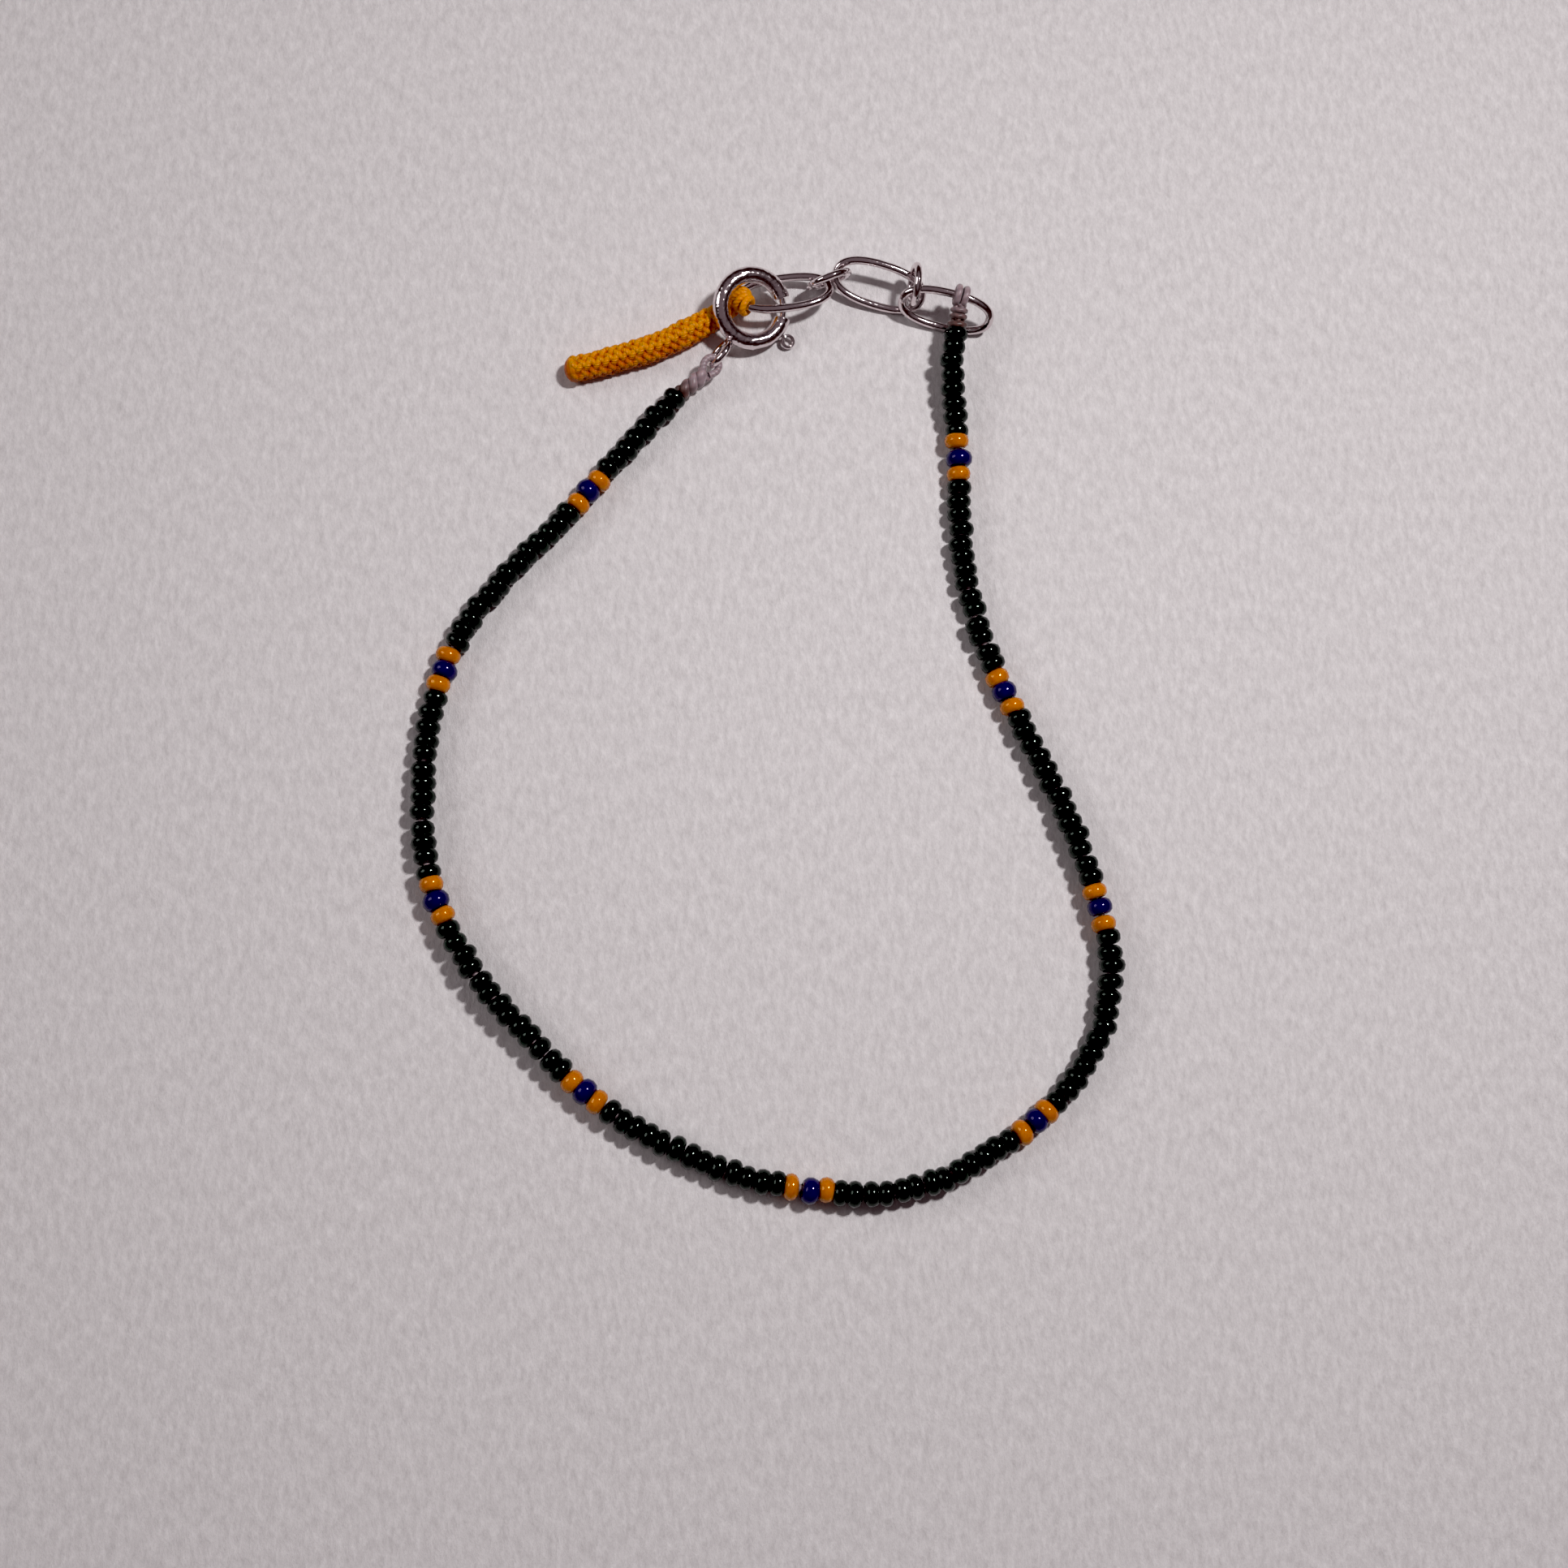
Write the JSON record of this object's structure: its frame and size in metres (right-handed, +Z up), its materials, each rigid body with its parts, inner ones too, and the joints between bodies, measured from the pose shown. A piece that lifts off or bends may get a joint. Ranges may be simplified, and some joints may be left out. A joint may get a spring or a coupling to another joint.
{
  "type": "beaded bracelet",
  "caption": "Seed-bead bracelet of dark green glass with amber and blue accents, closed by a silver spring ring and a short chain, with a knotted yellow cord tied on.",
  "frame": {"origin": "under the middle of the bracelet as it lies, on the surface that it rests on", "axes": "+Z up from that surface, +Y towards the chain and the clasp, +X towards the side where the chain meets the beads"},
  "size_m": [0.0509, 0.0706, 0.004],
  "materials": {
    "green_glass": "clear very dark emerald glass, glossy",
    "amber_glass": "opaque amber-yellow glass, glossy",
    "blue_glass": "opaque deep violet-blue glass, glossy",
    "silver": "polished silver",
    "waxed_thread": "waxed mauve-grey thread, slightly shiny",
    "yellow_cord": "braided golden yellow nylon cord"
  },
  "bodies": {
    "bracelet": {"blue_bead_1": "blue_glass", "blue_bead_2": "blue_glass", "blue_bead_3": "blue_glass", "blue_bead_4": "blue_glass", "blue_bead_5": "blue_glass", "blue_bead_6": "blue_glass", "blue_bead_7": "blue_glass", "blue_bead_8": "blue_glass", "blue_bead_9": "blue_glass", "chain_thread": "waxed_thread", "clasp_ring": "silver", "clasp_thread": "waxed_thread", "connecting_ring_1": "silver", "connecting_ring_2": "silver", "green_beads_1": "green_glass", "green_beads_10": "green_glass", "green_beads_2": "green_glass", "green_beads_3": "green_glass", "green_beads_4": "green_glass", "green_beads_5": "green_glass", "green_beads_6": "green_glass", "green_beads_7": "green_glass", "green_beads_8": "green_glass", "green_beads_9": "green_glass", "link_1": "silver", "link_2": "silver", "link_3": "silver", "orange_bead_1_a": "amber_glass", "orange_bead_1_b": "amber_glass", "orange_bead_2_a": "amber_glass", "orange_bead_2_b": "amber_glass", "orange_bead_3_a": "amber_glass", "orange_bead_3_b": "amber_glass", "orange_bead_4_a": "amber_glass", "orange_bead_4_b": "amber_glass", "orange_bead_5_a": "amber_glass", "orange_bead_5_b": "amber_glass", "orange_bead_6_a": "amber_glass", "orange_bead_6_b": "amber_glass", "orange_bead_7_a": "amber_glass", "orange_bead_7_b": "amber_glass", "orange_bead_8_a": "amber_glass", "orange_bead_8_b": "amber_glass", "orange_bead_9_a": "amber_glass", "orange_bead_9_b": "amber_glass", "yellow_tag": "yellow_cord"},
    "trigger": {"trigger": "silver"}
  },
  "joints": [
    {"name": "trigger", "type": "hinge", "parent": "bracelet", "child": "trigger", "pos_m": [-0.00063, 0.03112, 0.00195], "axis": [-0.2876, 0.2876, -0.9135], "range_deg": [0, 40], "stiffness_Nm_per_rad": 0.005, "springref_deg": -17.19}
  ]
}
